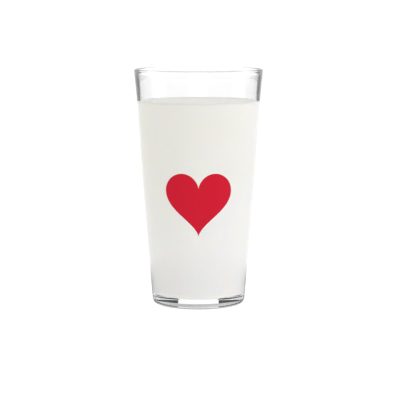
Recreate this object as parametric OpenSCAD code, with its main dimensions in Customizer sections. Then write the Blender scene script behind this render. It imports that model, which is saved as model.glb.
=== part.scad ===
// Glass of milk: a tapered, pressed tumbler of clear glass, filled with milk to a finger's width below its lip.
// Millimetres. +Z runs up the tumbler's axis. The origin is the centre of the foot, on the table.
// Both pieces are turned about the axis from profiles of [radius, height] points.

/* [Tumbler] */
// Height from the table to the top of the lip
glass_h = 150; // [110:1:180]
// Outer diameter at the top of the side
lip_d = 82; // [66:0.5:100]
// Outer diameter that the side would have at the table, without the rounded heel
foot_d = 58.6; // [46:0.2:72]
// How far the lip stands out past the straight taper
lip_flare = 0.9; // [0:0.1:2]
// Height of the flared part, down from the lip
flare_h = 30; // [15:1:45]
// How far the side swells past the straight taper at mid height
side_swell = 0.8; // [0:0.1:1.5]

/* [Walls and base] */
// Wall thickness below the lip
wall_t = 1.9; // [1.4:0.1:3]
// Wall thickness at the foot
foot_wall_t = 3.2; // [2:0.1:5]
// Thickness of the fire-polished bead at the lip
lip_t = 2.5; // [1.6:0.1:3.4]
// Height over which the wall thickens into the bead
bead_h = 5; // [2:0.5:10]
// Height of the bottom of the bore above the table, at the axis
floor_t = 5.8; // [4.4:0.2:20]
// Height over which the bottom of the bore curves up into the wall
bowl_h = 3.5; // [2:0.5:16]
// How square the bottom of the bore is: 2 is an ellipse, and more is squarer
bowl_power = 4; // [2:0.5:8]
// Radius of the heel, between the side and the foot
heel_r = 2.8; // [1:0.2:6]
// Width of the flat ring that the tumbler stands on
ring_w = 5; // [2:0.5:8]
// Height of the hollow inside that ring, at the axis
punt_h = 2.2; // [0.4:0.2:3]
// How flat the roof of that hollow is: 2 is a parabola, and more is flatter
punt_power = 8; // [2:1:12]

/* [Milk] */
// Depth of the milk's surface below the top of the lip
headspace = 20.5; // [10:0.1:60]
// Rise of the milk's edge where it clings to the wall
meniscus_h = 0.7; // [0.4:0.1:2.4]
// Distance from the wall in which that rise falls to about a third
meniscus_w = 2; // [1:0.1:4]
// Clearance between the milk and the bore, all over
milk_gap = 0.05; // [0.02:0.01:0.2]

/* [Hidden] */
$fn = 128;

// Steps along each curve of the profiles
side_steps = 28;
bowl_steps = 14;
lip_steps = 14;
heel_steps = 10;
punt_steps = 16;
meniscus_steps = 14;

// The meniscus is drawn out to this many of its widths, where it is nearly level
meniscus_reach = 5;

milk_z = glass_h - headspace;
bowl_top = floor_t + bowl_h;

// Radius of the outer side at height z: a straight taper, with a swell at mid height and a flare at the lip
function side_r(z) =
    foot_d/2 + (lip_d/2 - lip_flare - foot_d/2)*z/glass_h
    + side_swell*sin(180*z/glass_h)
    + lip_flare*pow(max(0, 1 - (glass_h - z)/flare_h), 2);

// Wall thickness at height z: it thickens towards the foot, and again into the bead at the lip
function wall_at(z) =
    wall_t
    + (foot_wall_t - wall_t)*pow(1 - z/glass_h, 3)
    + (lip_t - wall_t)*pow(max(0, 1 - (glass_h - z)/bead_h), 2);

// Radius of the bore at height z, above the bowl at its bottom
function bore_r(z) = side_r(z) - wall_at(z);

// Angle that the outer side leans out from the vertical, just above height z
function lean_at(z) = atan((side_r(z + 1) - side_r(z))/1);

// Points at equal steps up a side whose radius is given by bore_r, less a clearance
function bore_points(z0, z1, gap) = [
    for (i = [1:side_steps])
        let (z = z0 + (z1 - z0)*i/side_steps)
            [bore_r(z) - gap, z]
];

// The bottom of the bore, from the axis outwards: a superellipse that runs smoothly into the wall
function bowl_points(gap) = [
    for (i = [0:bowl_steps])
        let (
            a = 90*i/bowl_steps,
            z = floor_t + bowl_h*(1 - pow(cos(a), 2/bowl_power))
        )
            [max(0, bore_r(z) - gap)*pow(sin(a), 2/bowl_power), z + gap*cos(a)]
];

// Points on a circular arc round [r, z], from angle a0 to a1
function arc_points(r, z, radius, a0, a1, steps) = [
    for (i = [0:steps])
        let (a = a0 + (a1 - a0)*i/steps)
            [r + radius*cos(a), z + radius*sin(a)]
];

// The heel: an arc that touches the table and the leaning side
heel_lean = lean_at(0);
heel_side_z = heel_r*(1 - sin(heel_lean));
heel_r0 = side_r(heel_side_z) - heel_r*cos(heel_lean);
ring_inner_r = heel_r0 - ring_w;

// The lip: a full round that touches the side and the bore
lip_r = lip_t/2;
lip_lean = lean_at(glass_h - 1);
lip_z = glass_h - lip_r;
lip_r0 = side_r(lip_z) - lip_r/cos(lip_lean);
lip_side_z = lip_z - lip_r*sin(lip_lean);
lip_bore_z = lip_z + lip_r*sin(lip_lean);

function punt_points() = [
    for (i = [0:punt_steps])
        let (share = i/punt_steps)
            [ring_inner_r*share, punt_h*(1 - pow(share, punt_power))]
];

function outer_points() = [
    for (i = [1:side_steps - 1])
        let (z = heel_side_z + (lip_side_z - heel_side_z)*i/side_steps)
            [side_r(z), z]
];

function reversed(points) = [for (i = [len(points) - 1:-1:0]) points[i]];

function glass_profile() = concat(
    punt_points(),
    arc_points(heel_r0, heel_r, heel_r, -90, -heel_lean, heel_steps),
    outer_points(),
    arc_points(lip_r0, lip_z, lip_r, -lip_lean, 180 - lip_lean, lip_steps),
    reversed(concat(bowl_points(0), bore_points(bowl_top, lip_bore_z - lip_r/4, 0)))
);

// The milk's surface, from the wall to the axis: level, with an edge that rises to the wall
function surface_points() =
    let (edge_r = bore_r(milk_z + meniscus_h) - milk_gap)
        concat(
            [
                for (i = [1:meniscus_steps])
                    let (d = meniscus_reach*meniscus_w*pow(i/meniscus_steps, 2))
                        [edge_r - d, milk_z + meniscus_h*exp(-d/meniscus_w)]
            ],
            [[0, milk_z]]
        );

function milk_profile() = concat(
    bowl_points(milk_gap),
    bore_points(bowl_top, milk_z + meniscus_h, milk_gap),
    surface_points()
);

module glass() {
    color([0.93, 0.96, 0.96, 0.35])
        rotate_extrude() polygon(glass_profile());
}

module milk() {
    color([0.96, 0.95, 0.92])
        rotate_extrude() polygon(milk_profile());
}

glass();
milk();
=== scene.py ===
"""Looks of a glass of milk: a pressed clear tumbler, its milk and a plain red heart printed on its front.

Every piece is a surface worked out with numpy, in metres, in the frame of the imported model: +Z runs up the
tumbler's axis, the origin is the centre of the foot, and the front faces -Y.
"""

import math

import bpy
import numpy as np
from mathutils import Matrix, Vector


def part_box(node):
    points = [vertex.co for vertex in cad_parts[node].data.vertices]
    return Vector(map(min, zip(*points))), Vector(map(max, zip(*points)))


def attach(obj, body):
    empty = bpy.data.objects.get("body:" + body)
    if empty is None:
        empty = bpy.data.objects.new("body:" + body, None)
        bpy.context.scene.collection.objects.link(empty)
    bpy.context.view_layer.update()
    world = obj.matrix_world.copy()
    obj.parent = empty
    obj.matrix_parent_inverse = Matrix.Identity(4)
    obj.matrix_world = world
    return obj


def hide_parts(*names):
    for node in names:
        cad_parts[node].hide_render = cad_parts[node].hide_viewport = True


bl_info = {
    "name": "Glass of Milk",
    "version": (1, 0, 0),
    "blender": (4, 5, 0),
    "location": "View3D > Sidebar > Milk",
    "description": "Builds a pressed glass tumbler, the milk in it, its print and a pale stage",
    "category": "Add Mesh",
}

MM = 0.001

# Faces round the tumbler and the milk, and steps along each stretch of their outlines
SEGMENTS = 192
PUNT_STEPS, HEEL_STEPS, SIDE_STEPS, LIP_STEPS, BOWL_STEPS = 32, 18, 72, 26, 40
MILK_SIDE_STEPS, SURFACE_STEPS = 64, 48

# Sockets of a Mix node by number, because those for numbers and for colours share their names
SHARE = 0
FIRST_NUMBER, SECOND_NUMBER = 2, 3
FIRST_COLOUR, SECOND_COLOUR, MIXED_COLOUR = 6, 7, 2

# For a piece that has only four-sided faces
NO_TRIANGLES = np.empty((0, 3), int)

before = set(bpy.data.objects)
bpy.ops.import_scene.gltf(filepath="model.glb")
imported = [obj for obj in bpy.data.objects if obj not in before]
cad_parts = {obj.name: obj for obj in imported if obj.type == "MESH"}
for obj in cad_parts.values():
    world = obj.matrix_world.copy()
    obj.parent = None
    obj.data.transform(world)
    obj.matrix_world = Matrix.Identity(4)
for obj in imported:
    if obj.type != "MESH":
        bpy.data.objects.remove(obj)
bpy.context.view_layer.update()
TUMBLER_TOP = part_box("glass")[1].z
MILK_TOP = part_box("milk")[1].z


def linear(hex_colour):
    """An sRGB hex colour such as "#F2F0EA" as linear red, green and blue."""
    srgb = np.array([int(hex_colour[i : i + 2], 16) for i in (1, 3, 5)]) / 255
    return tuple(np.where(srgb <= 0.04045, srgb / 12.92, ((srgb + 0.055) / 1.055) ** 2.4))


def size(name, description, millimetres):
    """A length that a user can change, kept in metres."""
    return bpy.props.FloatProperty(
        name=name, description=description, default=millimetres * MM, min=0, unit="LENGTH", precision=5
    )


def colour(name, description, hex_colour):
    """A colour that a user can change, kept linear."""
    return bpy.props.FloatVectorProperty(
        name=name, description=description, default=linear(hex_colour), min=0, max=1, subtype="COLOR"
    )


class TumblerSettings(bpy.types.PropertyGroup):
    """Sizes and colours of the pressed glass tumbler."""

    height: size("Height", "From the table to the top of the lip", TUMBLER_TOP / MM)
    lip_diameter: size("Lip diameter", "Outer diameter at the top of the side", 82)
    foot_diameter: size("Foot diameter", "Outer diameter of the side at the table, without its heel", 58.6)
    lip_flare: size("Lip flare", "How far the lip stands out past the straight taper", 0.9)
    flare_height: size("Flare height", "Height of the flared part, down from the lip", 30)
    side_swell: size("Side swell", "How far the side swells past the taper at mid height", 0.8)
    wall: size("Wall", "Wall thickness below the lip", 1.9)
    foot_wall: size("Foot wall", "Wall thickness at the foot", 3.2)
    lip: size("Lip", "Thickness of the fire-polished bead at the lip", 2.5)
    bead_height: size("Bead height", "Height over which the wall thickens into the bead", 5)
    floor: size("Floor", "Height of the bottom of the bore above the table", 5.8)
    bowl_height: size("Bowl height", "Height over which the bottom of the bore curves into the wall", 3.5)
    bowl_power: bpy.props.FloatProperty(
        name="Bowl power", description="How square the bore's bottom is; 2 is an ellipse", default=4, min=2
    )
    heel: size("Heel", "Radius between the side and the foot", 2.8)
    ring: size("Ring", "Width of the flat ring that the tumbler stands on", 5)
    punt: size("Punt", "Height of the hollow inside that ring", 2.2)
    punt_power: bpy.props.FloatProperty(
        name="Punt power", description="How flat that hollow's roof is; 2 is a parabola", default=8, min=2
    )
    ripple: size("Ripple", "Depth of the faint unevenness that pressing leaves in the glass", 0.03)
    tint: colour("Tint", "Colour of the glass itself", "#FFFFFF")
    # Edge and Bead are painted reflections: grey tints laid into the glass colour above the milk, standing in
    # for what the wall would mirror
    edge: colour("Edge", "What the glass mirrors inside its wall above the milk", "#8A8B8A")
    bead: colour("Bead", "What the glass mirrors inside its bead", "#CCCDCC")


class MilkSettings(bpy.types.PropertyGroup):
    """Sizes and colours of the milk."""

    meniscus: size("Meniscus", "Rise of the milk's edge where it clings to the wall", 0.7)
    meniscus_width: size("Meniscus width", "Distance in which that rise falls to about a third", 2)
    overlap: size("Overlap", "How far the milk reaches into the wall, so that no air gap shows", 0.1)
    # The first colour is the milk low down; the second, yellower and a little darker, is mixed in towards the
    # top
    body: colour("Body", "Milk low down, where it is leaner", "#F5F4F4")
    upper_colour: colour("Cream", "The fattier milk that gathers higher up", "#F0EFE9")


class PrintSettings(bpy.types.PropertyGroup):
    """Size, place and colour of the plain heart printed on the front."""

    width: size("Width", "Across the heart, along the wall", 43)
    height: size("Height", "From the heart's tip to the top of its lobes", 39.5)
    centre: size("Centre", "Height of the heart's middle above the table", 67)
    thickness: size("Thickness", "How far the enamel stands out from the glass", 0.06)
    sunk: size("Sunk", "How far the enamel is fused into the glass", 0.02)
    enamel: colour("Enamel", "Fired red enamel", "#D61731")


class StageSettings(bpy.types.PropertyGroup):
    """The camera, the floor and the grey cards."""

    camera_distance: size("Camera distance", "From the tumbler's axis to the camera, along the floor", 960)
    camera_height: size("Camera height", "Height of the camera above the table", 186)
    camera_side: size("Camera side", "How far the camera stands to the right of the axis", 0.95)
    camera_pitch: bpy.props.FloatProperty(
        name="Camera pitch",
        description="How far the camera looks down",
        default=math.radians(7.12),
        subtype="ANGLE",
    )
    lens: bpy.props.FloatProperty(
        name="Lens", description="Focal length in mm, on a 36 mm wide sensor", default=135.7, min=1
    )
    floor: colour("Floor", "Matt white floor, which also glows", "#959595")
    flag: colour("Flag", "Grey card that gives the glass its dark edges", "#484846")


# Shapes


def side_radius(t, z):
    """Outer radius at height z: a straight taper, plus a half sine wave for the swell at mid height, plus a
    parabola for the flare at the lip."""
    foot = t.foot_diameter / 2
    share = z / t.height
    taper = foot + (t.lip_diameter / 2 - t.lip_flare - foot) * share
    flare = t.lip_flare * np.maximum(0, 1 - (t.height - z) / t.flare_height) ** 2
    return taper + t.side_swell * np.sin(np.pi * share) + flare


def wall_thickness(t, z):
    """Wall thickness at height z: it thickens towards the foot as a cube, and into the lip's bead as a
    square."""
    foot = (t.foot_wall - t.wall) * (1 - z / t.height) ** 3
    bead = (t.lip - t.wall) * np.maximum(0, 1 - (t.height - z) / t.bead_height) ** 2
    return t.wall + foot + bead


def bore_radius(t, z):
    """Inner radius at height z, above the curved bottom of the bore."""
    return side_radius(t, z) - wall_thickness(t, z)


def lean(t, z):
    """Angle that the outer side leans out from the vertical at height z: the arc tangent of the radius gained
    over the next millimetre."""
    return math.atan((side_radius(t, z + MM) - side_radius(t, z)) / MM)


def arc(radius, height, bend, start, end, steps):
    """(radius, height) points at equal angles, in degrees, on a circular arc of radius bend."""
    angle = np.radians(np.linspace(start, end, steps))
    return np.stack([radius + bend * np.cos(angle), height + bend * np.sin(angle)], 1)


def bowl(t, outset):
    """The bottom of the bore from the axis out, a superellipse: height is floor + bowl height times
    (1 - cos^(2/power)), and radius is the bore's times sin^(2/power). outset moves it into the glass."""
    angle = np.linspace(0, np.pi / 2, BOWL_STEPS)
    z = t.floor + t.bowl_height * (1 - np.cos(angle) ** (2 / t.bowl_power))
    r = (bore_radius(t, z) + outset) * np.sin(angle) ** (2 / t.bowl_power)
    return np.stack([r, z - outset * np.cos(angle)], 1)


def tumbler_profile(t):
    """The whole wall as one outline of (radius, height) points: from the axis under the foot, along the roof
    of the hollow, round the heel, up the side, round the lip, down the bore and back to the axis. That roof
    is punt * (1 - share^power) high, where share is the radius over the ring's inner radius."""
    foot_lean = lean(t, 0)
    side_start = t.heel * (1 - math.sin(foot_lean))
    heel_centre = side_radius(t, side_start) - t.heel * math.cos(foot_lean)
    ring_inner = heel_centre - t.ring
    share = np.linspace(0, 1, PUNT_STEPS)
    punt = np.stack([ring_inner * share, t.punt * (1 - share**t.punt_power)], 1)
    heel = arc(heel_centre, t.heel, t.heel, -90, -math.degrees(foot_lean), HEEL_STEPS)
    lip_bend = t.lip / 2
    lip_height = t.height - lip_bend
    lip_lean = lean(t, t.height - MM)
    lip_centre = side_radius(t, lip_height) - lip_bend / math.cos(lip_lean)
    z = np.linspace(side_start, lip_height - lip_bend * math.sin(lip_lean), SIDE_STEPS)[1:-1]
    side = np.stack([side_radius(t, z), z], 1)
    lip_start = -math.degrees(lip_lean)
    lip = arc(lip_centre, lip_height, lip_bend, lip_start, lip_start + 180, LIP_STEPS)
    z = np.linspace(lip_height - lip_bend / 4, t.floor + t.bowl_height, SIDE_STEPS)[:-1]
    bore = np.stack([bore_radius(t, z), z], 1)
    return np.concatenate([punt, heel, side, lip, bore, bowl(t, 0)[::-1]])


def milk_profile(t, m):
    """The milk's outline from the axis at the bottom, up the wall and in along the surface to the axis. The
    surface is level, with an edge whose rise falls off exponentially from the wall. Also gives how many
    points lie below the surface."""
    level = MILK_TOP - m.meniscus
    z = np.linspace(t.floor + t.bowl_height, MILK_TOP, MILK_SIDE_STEPS)[1:]
    side = np.stack([bore_radius(t, z) + m.overlap, z], 1)
    under = np.concatenate([bowl(t, m.overlap), side])
    edge = bore_radius(t, MILK_TOP)
    inwards = edge * np.linspace(0, 1, SURFACE_STEPS) ** 2
    surface = np.stack([edge - inwards, level + m.meniscus * np.exp(-inwards / m.meniscus_width)], 1)
    return np.concatenate([under, surface]), len(under)


def revolve(profile):
    """Turns an outline about the Z axis: point (r, z) at angle a goes to (r sin a, -r cos a, z). Its two ends
    lie on the axis, where each becomes one vertex with a fan of triangles. Gives points, quads and triangles,
    and for each face the number of the outline point that it starts from."""
    angle = np.linspace(0, 2 * np.pi, SEGMENTS, endpoint=False)
    r, z = profile[1:-1, 0, None], profile[1:-1, 1, None]
    rings = np.stack([r * np.sin(angle), -r * np.cos(angle), z + 0 * angle], 2).reshape(-1, 3)
    count = len(profile) - 2
    points = np.concatenate([[[0, 0, profile[0, 1]]], rings, [[0, 0, profile[-1, 1]]]])
    step = np.arange(SEGMENTS)
    after = (step + 1) % SEGMENTS
    row = 1 + np.arange(count - 1)[:, None] * SEGMENTS
    above = row + SEGMENTS
    quads = np.stack([row + step, row + after, above + after, above + step], 2).reshape(-1, 4)
    last = 1 + (count - 1) * SEGMENTS
    first_fan = np.stack([0 * step, 1 + after, 1 + step], 1)
    last_fan = np.stack([0 * step + len(points) - 1, last + step, last + after], 1)
    starts = np.concatenate([np.repeat(np.arange(1, count), SEGMENTS), 0 * step, 0 * step + count])
    return points, quads, np.concatenate([first_fan, last_fan]), starts


def heart_outline(steps):
    """A plain heart: x = 16 sin^3 a and y = 13 cos a - 5 cos 2a - 2 cos 3a - cos 4a, scaled to fill 1 by 1
    about 0."""
    a = np.linspace(0, 2 * np.pi, steps, endpoint=False)
    x = 16 * np.sin(a) ** 3
    y = 13 * np.cos(a) - 5 * np.cos(2 * a) - 2 * np.cos(3 * a) - np.cos(4 * a)
    return np.stack([x / np.ptp(x), (y - (y.max() + y.min()) / 2) / np.ptp(y)], 1)


def wrapped(t, flat, centre, lift):
    """Rolls a flat outline on to the wall: across becomes an angle, arc length over radius, and up stays up.
    lift is how far it stands out from the glass."""
    z = centre + flat[:, 1]
    r = side_radius(t, z)
    turn = flat[:, 0] / r
    return np.stack([(r + lift) * np.sin(turn), -(r + lift) * np.cos(turn), z], 1)


def make_piece(name, points, quads, triangles, materials, slots=None):
    """A smooth-shaded mesh object at the origin, with faces outwards. slots gives each face's material."""
    mesh = bpy.data.meshes.new(name)
    mesh.from_pydata(points.tolist(), [], quads.tolist() + triangles.tolist())
    mesh.polygons.foreach_set("use_smooth", np.ones(len(mesh.polygons), bool))
    for material in materials:
        mesh.materials.append(material)
    if slots is not None:
        mesh.polygons.foreach_set("material_index", slots.astype(np.int32))
    mesh.update()
    piece = bpy.data.objects.new(name, mesh)
    bpy.context.scene.collection.objects.link(piece)
    return piece


# Materials


def add_node(tree, kind, inputs=None, **settings):
    """Adds a node with its own settings, and sets or links each of its inputs."""
    node = tree.nodes.new(kind)
    for name, value in settings.items():
        setattr(node, name, value)
    for name, value in (inputs or {}).items():
        if isinstance(value, bpy.types.NodeSocket):
            tree.links.new(value, node.inputs[name])
        else:
            node.inputs[name].default_value = value
    return node


def new_material(name):
    """An empty node material and its tree."""
    material = bpy.data.materials.new(name)
    material.use_nodes = True
    material.node_tree.nodes.clear()
    return material, material.node_tree


def glass_material(t):
    """Pressed soda-lime glass, fire-polished. Clear, with a mirror finish. A wall seen edge-on mirrors the
    room inside itself, which the eye reads as a grey outline. Above the milk, a painted reflection stands in
    for that: a grey tint in the glass colour that grows towards grazing angles and is lighter in the bead."""
    ior = 1.5
    # How much glass mirrors when it is looked at head on, and how closely the painted grey keeps to the edge
    head_on, tightness = 0.04, 1.6
    # The painted grey fades from a ray's first bounce to its third, down to this share
    faded = 0.1
    # Light that a lamp, or a matt surface, gets through one face of the wall
    let_through = 0.97

    material, tree = new_material("pressed soda-lime glass, fire-polished")
    place = add_node(tree, "ShaderNodeTexCoord").outputs["Object"]
    height = add_node(tree, "ShaderNodeSeparateXYZ", {0: place}).outputs["Z"]
    above_milk = add_node(
        tree, "ShaderNodeMapRange", {"Value": height, "From Min": MILK_TOP - 2 * MM, "From Max": MILK_TOP}
    ).outputs[0]
    mirrored = add_node(tree, "ShaderNodeFresnel", {"IOR": ior}).outputs[0]
    extra = add_node(
        tree, "ShaderNodeMapRange", {"Value": mirrored, "From Min": head_on, "From Max": 1.0}
    ).outputs[0]
    sharp = add_node(tree, "ShaderNodeMath", {0: extra, 1: tightness}, operation="POWER").outputs[0]
    path = add_node(tree, "ShaderNodeLightPath")
    fading = add_node(
        tree,
        "ShaderNodeMapRange",
        {"Value": path.outputs["Ray Depth"], "From Min": 1, "From Max": 3, "To Min": 1.0, "To Max": faded},
    ).outputs[0]
    seen = add_node(tree, "ShaderNodeMath", {0: fading, 1: above_milk}, operation="MULTIPLY").outputs[0]
    share = add_node(tree, "ShaderNodeMath", {0: sharp, 1: seen}, operation="MULTIPLY").outputs[0]
    near_lip = add_node(
        tree,
        "ShaderNodeMapRange",
        {"Value": height, "From Min": TUMBLER_TOP - t.bead_height, "From Max": TUMBLER_TOP - t.lip},
    ).outputs[0]
    # Painted reflection: a grey for the wall, lighter for the bead at the lip
    grey = add_node(
        tree,
        "ShaderNodeMix",
        {SHARE: near_lip, FIRST_COLOUR: (*t.edge, 1), SECOND_COLOUR: (*t.bead, 1)},
        data_type="RGBA",
    ).outputs[MIXED_COLOUR]
    tint_and_painted_reflection = add_node(
        tree,
        "ShaderNodeMix",
        {SHARE: share, FIRST_COLOUR: (*t.tint, 1), SECOND_COLOUR: grey},
        data_type="RGBA",
    ).outputs[MIXED_COLOUR]
    glass = add_node(tree, "ShaderNodeBsdfGlass", {"Color": tint_and_painted_reflection, "Roughness": 0.0, "IOR": ior}).outputs[0]
    clear = add_node(tree, "ShaderNodeBsdfTransparent", {"Color": (*[let_through] * 3, 1)}).outputs[0]
    # Lamps reach the milk through the glass, and so does what lights it from all round
    to_milk = add_node(
        tree,
        "ShaderNodeMath",
        {0: path.outputs["Is Shadow Ray"], 1: path.outputs["Is Diffuse Ray"]},
        operation="MAXIMUM",
    ).outputs[0]
    mixed = add_node(tree, "ShaderNodeMixShader", {0: to_milk, 1: glass, 2: clear}).outputs[0]
    add_node(tree, "ShaderNodeOutputMaterial", {"Surface": mixed})
    return material


def milk_material(name, m, shine):
    """Whole milk. Light goes in and scatters off fat, so it's a soft, slightly warm white with no hard
    shading. The open surface is wet; where it wets the glass it has no shine of its own."""
    # A second colour, yellower and a little darker, is mixed in as faint clouds this wide. There is none
    # below the first height, and it grows up to the second.
    cloud_width, plain_below, full_upper_from = 35 * MM, 10 * MM, 90 * MM

    material, tree = new_material(name)
    place = add_node(tree, "ShaderNodeTexCoord").outputs["Object"]
    cloud = add_node(
        tree,
        "ShaderNodeTexNoise",
        {"Vector": place, "Scale": 1 / cloud_width, "Detail": 3.0, "Roughness": 0.5},
    ).outputs[0]
    height = add_node(tree, "ShaderNodeSeparateXYZ", {0: place}).outputs["Z"]
    rise = add_node(
        tree, "ShaderNodeMapRange", {"Value": height, "From Min": plain_below, "From Max": full_upper_from}
    ).outputs[0]
    uneven = add_node(
        tree,
        "ShaderNodeMapRange",
        {"Value": cloud, "From Min": 0.35, "From Max": 0.65, "To Min": 0.6, "To Max": 1.0},
    ).outputs[0]
    share = add_node(tree, "ShaderNodeMath", {0: uneven, 1: rise}, operation="MULTIPLY").outputs[0]
    mixed = add_node(
        tree,
        "ShaderNodeMix",
        {SHARE: share, FIRST_COLOUR: (*m.body, 1), SECOND_COLOUR: (*m.upper_colour, 1)},
        data_type="RGBA",
    ).outputs[MIXED_COLOUR]
    milk = add_node(
        tree,
        "ShaderNodeBsdfPrincipled",
        {
            "Base Color": mixed,
            "Roughness": 0.35,
            "IOR": 1.35,
            "Specular IOR Level": shine,
            "Subsurface Weight": 1.0,
            "Subsurface Radius": (1.0, 0.85, 0.65),
            "Subsurface Scale": 1.2 * MM,
        },
    ).outputs[0]
    add_node(tree, "ShaderNodeOutputMaterial", {"Surface": milk})
    return material


def enamel_material(p):
    """Screen-printed glass enamel, fired on. A flat, dense red with a soft gloss and the screen's faint
    mottle, drawn coarser than the screen's mesh so that it shows."""
    mottle_width, darkest = 1.5 * MM, 0.9

    material, tree = new_material("red glass enamel, screen-printed and fired")
    place = add_node(tree, "ShaderNodeTexCoord").outputs["Object"]
    mottle = add_node(
        tree,
        "ShaderNodeTexNoise",
        {"Vector": place, "Scale": 1 / mottle_width, "Detail": 4.0, "Roughness": 0.6},
    ).outputs[0]
    dark = tuple(darkest * c for c in p.enamel)
    mixed = add_node(
        tree,
        "ShaderNodeMix",
        {SHARE: mottle, FIRST_COLOUR: (*dark, 1), SECOND_COLOUR: (*p.enamel, 1)},
        data_type="RGBA",
    ).outputs[MIXED_COLOUR]
    dull = add_node(tree, "ShaderNodeMapRange", {"Value": mottle, "To Min": 0.28, "To Max": 0.42}).outputs[0]
    bump = add_node(
        tree, "ShaderNodeBump", {"Height": mottle, "Strength": 0.15, "Distance": 0.02 * MM}
    ).outputs[0]
    enamel = add_node(
        tree,
        "ShaderNodeBsdfPrincipled",
        {"Base Color": mixed, "Roughness": dull, "IOR": 1.5, "Specular IOR Level": 0.1, "Normal": bump},
    ).outputs[0]
    add_node(tree, "ShaderNodeOutputMaterial", {"Surface": enamel})
    return material


def paper_material(s):
    """Matt white paper, lit evenly from below. It glows as white as the room behind it, so that no horizon
    shows. Two masks by the kind of ray paint shade near the foot: a nearly black painted shadow for rays
    that the glass bends or mirrors, as under a full tumbler, and a little painted shade in what lights the
    milk."""
    # How bright it looks, and how bright it is as a light for matt surfaces
    seen_glow, lighting_glow = 0.86, 0.88
    # Distances from the axis over which each painted shade ends, and the painted shade right under the milk
    painted_shadow_start, painted_shadow_end = 80 * MM, 150 * MM
    under_start, under_end, under_shade = 26 * MM, 34 * MM, 0.75
    painted_shadow_grey = (0.03, 0.03, 0.03, 1)

    material, tree = new_material("matt white paper")
    path = add_node(tree, "ShaderNodeLightPath")
    glow = add_node(
        tree,
        "ShaderNodeMapRange",
        {"Value": path.outputs["Is Diffuse Ray"], "To Min": seen_glow, "To Max": lighting_glow},
    ).outputs[0]
    place = add_node(tree, "ShaderNodeTexCoord").outputs["Object"]
    radius = add_node(tree, "ShaderNodeVectorMath", {0: place}, operation="LENGTH").outputs["Value"]
    through_glass = add_node(
        tree, "ShaderNodeMapRange", {"Value": radius, "From Min": painted_shadow_start, "From Max": painted_shadow_end}
    ).outputs[0]
    on_milk = add_node(
        tree,
        "ShaderNodeMapRange",
        {"Value": radius, "From Min": under_start, "From Max": under_end, "To Min": under_shade},
    ).outputs[0]
    away = add_node(
        tree,
        "ShaderNodeMix",
        {SHARE: path.outputs["Is Diffuse Ray"], FIRST_NUMBER: through_glass, SECOND_NUMBER: on_milk},
    ).outputs[0]
    shade = add_node(
        tree, "ShaderNodeMath", {0: path.outputs["Is Camera Ray"], 1: away}, operation="MAXIMUM"
    ).outputs[0]
    strength = add_node(tree, "ShaderNodeMath", {0: glow, 1: shade}, operation="MULTIPLY").outputs[0]
    # Painted shadow: near the foot the paper's colour darkens and its glow drops, by the masks above
    tone = add_node(
        tree,
        "ShaderNodeMix",
        {SHARE: shade, FIRST_COLOUR: painted_shadow_grey, SECOND_COLOUR: (*s.floor, 1)},
        data_type="RGBA",
    ).outputs[MIXED_COLOUR]
    paper = add_node(tree, "ShaderNodeBsdfDiffuse", {"Color": tone}).outputs[0]
    light = add_node(tree, "ShaderNodeEmission", {"Color": (1, 1, 1, 1), "Strength": strength}).outputs[0]
    lit = add_node(tree, "ShaderNodeAddShader", {0: paper, 1: light}).outputs[0]
    add_node(tree, "ShaderNodeOutputMaterial", {"Surface": lit})
    return material


def card_material(s):
    """Matt grey card, the same grey from everywhere. Glass shows it as its dark edges."""
    material, tree = new_material("matt grey card")
    card = add_node(tree, "ShaderNodeEmission", {"Color": (*s.flag, 1)}).outputs[0]
    add_node(tree, "ShaderNodeOutputMaterial", {"Surface": card})
    return material


# Stage


def white_room(scene):
    """A plain white room. Matt surfaces get less light from it than the camera and glass see."""
    seen, lighting = 1.05, 0.6
    world = bpy.data.worlds.new("white studio")
    world.use_nodes = True
    tree = world.node_tree
    tree.nodes.clear()
    diffuse = add_node(tree, "ShaderNodeLightPath").outputs["Is Diffuse Ray"]
    power = add_node(
        tree, "ShaderNodeMapRange", {"Value": diffuse, "To Min": seen, "To Max": lighting}
    ).outputs[0]
    white = add_node(tree, "ShaderNodeBackground", {"Color": (1, 1, 1, 1), "Strength": power}).outputs[0]
    add_node(tree, "ShaderNodeOutputWorld", {"Surface": white})
    scene.world = world


def lay_floor(s):
    """A flat square of paper, just under the tumbler's foot."""
    half, drop = 6.0, 0.2 * MM
    corners = half * np.array([[-1, -1, 0], [1, -1, 0], [1, 1, 0], [-1, 1, 0]]) - (0, 0, drop)
    floor = make_piece("floor", corners, np.array([[0, 1, 2, 3]]), NO_TRIANGLES, [paper_material(s)])


def stand_cards(s):
    """Four upright grey cards, each bent round an arc about the axis, with bright gaps in front, behind and
    at both sides. Only rays that come through glass meet them."""
    reach, low, high = 1.0, 0.03, 0.45
    card_start, card_end, steps = 17, 73, 24
    material = card_material(s)
    i = np.arange(steps - 1)
    quads = np.stack([i, i + 1, i + steps + 1, i + steps], 1)
    for turn in range(4):
        a = np.radians(np.linspace(card_start, card_end, steps) + 90 * turn)
        ring = np.stack([reach * np.sin(a), reach * np.cos(a)], 1)
        points = np.concatenate([np.insert(ring, 2, low, 1), np.insert(ring, 2, high, 1)])
        flag = make_piece(f"flag_{turn}", points, quads, NO_TRIANGLES, [material])
        flag.visible_camera = False
        flag.visible_diffuse = False
        flag.visible_glossy = False
        flag.visible_shadow = False


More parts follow.
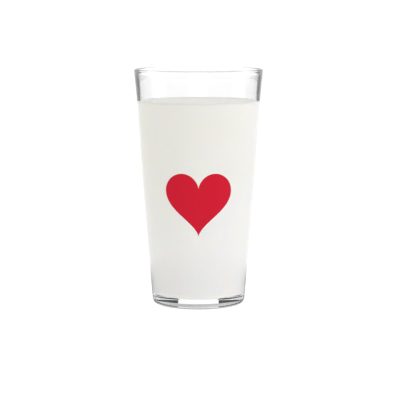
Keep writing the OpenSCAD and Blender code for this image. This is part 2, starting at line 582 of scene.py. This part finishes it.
def hang_lamps(scene):
    """Three square lamps aimed at the tumbler's middle: a key from the right, a soft one above and a weak,
    yellowish fill from the left. Nothing mirrors or shows them."""
    middle = Vector((0, 0, 70 * MM))
    # Name, place in metres, power in watts, width in metres and colour
    lamps = (
        ("key_right", (1.2, -0.7, 0.5), 4.8, 1.0, "#FFFFFF"),
        ("top", (0.0, 0.2, 1.4), 2.0, 0.8, "#FFFFFF"),
        ("fill_left", (-1.1, -0.8, 0.8), 1.1, 1.0, "#FFFF9C"),
    )
    for name, place, power, width, tone in lamps:
        lamp = bpy.data.lights.new(name, "AREA")
        lamp.energy = power
        lamp.size = width
        lamp.color = linear(tone)
        light = bpy.data.objects.new(name, lamp)
        light.location = place
        light.rotation_euler = (middle - light.location).to_track_quat("-Z", "Y").to_euler()
        light.visible_camera = False
        light.visible_glossy = False
        light.visible_transmission = False
        scene.collection.objects.link(light)


def place_camera(scene, s):
    """A camera in front of the tumbler and a little above it, looking slightly down."""
    camera = bpy.data.objects.new("camera", bpy.data.cameras.new("camera"))
    camera.data.lens = s.lens
    camera.data.sensor_width = 36
    camera.data.clip_start = 0.01
    camera.location = (s.camera_side, -s.camera_distance, s.camera_height)
    camera.rotation_euler = (math.pi / 2 - s.camera_pitch, 0, 0)
    scene.collection.objects.link(camera)
    scene.camera = camera


# Operators


class MILKGLASS_OT_tumbler(bpy.types.Operator):
    """Build the pressed glass tumbler"""

    bl_idname = "milk_glass.tumbler"
    bl_label = "Tumbler"

    def execute(self, context):
        t = context.scene.milk_glass_tumbler
        points, quads, triangles, _ = revolve(tumbler_profile(t))
        angle = np.arctan2(points[:, 0], -points[:, 1])
        z = points[:, 2]
        # Three broad waves and five finer ones wind slowly up the side. They go inwards only, so that the
        # sizes hold: wave runs from -2 to 2, and shrinking from none to ripple over the lip's radius.
        broad_rise, fine_rise = 18 * MM, 11 * MM
        wave = np.sin(3 * angle + z / broad_rise) + np.sin(5 * angle - z / fine_rise + 1)
        shrinking = (2 + wave) / 4 * t.ripple / (t.lip_diameter / 2)
        points[:, :2] *= 1 - shrinking[:, None]
        piece = make_piece("tumbler", points, quads, triangles, [glass_material(t)])
        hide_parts("glass")
        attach(piece, "root")
        return {"FINISHED"}


class MILKGLASS_OT_milk(bpy.types.Operator):
    """Build the milk, which wets the bore"""

    bl_idname = "milk_glass.milk"
    bl_label = "Milk"

    def execute(self, context):
        t, m = context.scene.milk_glass_tumbler, context.scene.milk_glass_milk
        profile, under = milk_profile(t, m)
        points, quads, triangles, starts = revolve(profile)
        materials = [
            milk_material("whole milk, against the glass", m, 0.0),
            milk_material("whole milk, open surface", m, 0.5),
        ]
        piece = make_piece("milk_fill", points, quads, triangles, materials, starts >= under)
        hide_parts("milk")
        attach(piece, "root")
        return {"FINISHED"}


class MILKGLASS_OT_print(bpy.types.Operator):
    """Print the plain heart on the front of the tumbler"""

    bl_idname = "milk_glass.print"
    bl_label = "Print"

    def execute(self, context):
        t, p = context.scene.milk_glass_tumbler, context.scene.milk_glass_print
        steps, rows = 240, 40
        # Rings shrink from the outline to the middle, on the face and again on the fused back
        share = np.linspace(1, 0, rows)[:-1, None, None]
        rings = (heart_outline(steps) * share * (p.width, p.height)).reshape(-1, 2)
        flat = np.concatenate([rings, [[0, 0]]])
        face = wrapped(t, flat, p.centre, p.thickness)
        back = wrapped(t, flat, p.centre, -p.sunk - t.ripple)
        count = len(flat)
        step = np.arange(steps)
        after = (step + 1) % steps
        row = np.arange(rows - 2)[:, None] * steps
        inner = row + steps
        quads = np.stack([row + step, inner + step, inner + after, row + after], 2).reshape(-1, 4)
        last = (rows - 2) * steps
        fan = np.stack([last + step, 0 * step + count - 1, last + after], 1)
        rim = np.stack([step, after, count + after, count + step], 1)
        all_quads = np.concatenate([quads, quads[:, ::-1] + count, rim])
        all_fans = np.concatenate([fan, fan[:, ::-1] + count])
        points = np.concatenate([face, back])
        piece = make_piece("heart_print", points, all_quads, all_fans, [enamel_material(p)])
        # Milk glows from all round, so a print this small leaves no shade on it
        piece.visible_shadow = False
        piece.visible_diffuse = False
        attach(piece, "root")
        return {"FINISHED"}


class MILKGLASS_OT_stage(bpy.types.Operator):
    """Set up the white room, the pale floor, the grey cards, the lamps and the camera"""

    bl_idname = "milk_glass.stage"
    bl_label = "Stage"

    def execute(self, context):
        scene, s = context.scene, context.scene.milk_glass_stage
        scene.view_settings.view_transform = "Standard"
        scene.cycles.use_denoising = True
        scene.cycles.max_bounces = 24
        scene.cycles.transmission_bounces = 20
        scene.cycles.diffuse_bounces = 5
        scene.cycles.glossy_bounces = 12
        scene.cycles.transparent_max_bounces = 24
        white_room(scene)
        lay_floor(s)
        stand_cards(s)
        hang_lamps(scene)
        place_camera(scene, s)
        return {"FINISHED"}


class MILKGLASS_PT_panel(bpy.types.Panel):
    """Lists the pieces and their sizes in the sidebar"""

    bl_label = "Glass of Milk"
    bl_idname = "MILKGLASS_PT_panel"
    bl_space_type = "VIEW_3D"
    bl_region_type = "UI"
    bl_category = "Milk"

    def draw(self, context):
        for operator, settings in STEPS:
            box = self.layout.box()
            box.operator(operator)
            group = getattr(context.scene, settings)
            for name in group.bl_rna.properties.keys():
                if name not in ("rna_type", "name"):
                    box.prop(group, name)


SETTINGS = {
    "milk_glass_tumbler": TumblerSettings,
    "milk_glass_milk": MilkSettings,
    "milk_glass_print": PrintSettings,
    "milk_glass_stage": StageSettings,
}
STEPS = (
    ("milk_glass.tumbler", "milk_glass_tumbler"),
    ("milk_glass.milk", "milk_glass_milk"),
    ("milk_glass.print", "milk_glass_print"),
    ("milk_glass.stage", "milk_glass_stage"),
)
CLASSES = (
    *SETTINGS.values(),
    MILKGLASS_OT_tumbler,
    MILKGLASS_OT_milk,
    MILKGLASS_OT_print,
    MILKGLASS_OT_stage,
    MILKGLASS_PT_panel,
)


def register():
    for cls in CLASSES:
        bpy.utils.register_class(cls)
    for name, group in SETTINGS.items():
        setattr(bpy.types.Scene, name, bpy.props.PointerProperty(type=group))


def unregister():
    for name in SETTINGS:
        delattr(bpy.types.Scene, name)
    for cls in reversed(CLASSES):
        bpy.utils.unregister_class(cls)


def main():
    """Builds every piece and the stage."""
    register()
    bpy.ops.milk_glass.tumbler()
    bpy.ops.milk_glass.milk()
    bpy.ops.milk_glass.print()
    bpy.ops.milk_glass.stage()


if __name__ == "__main__":
    main()
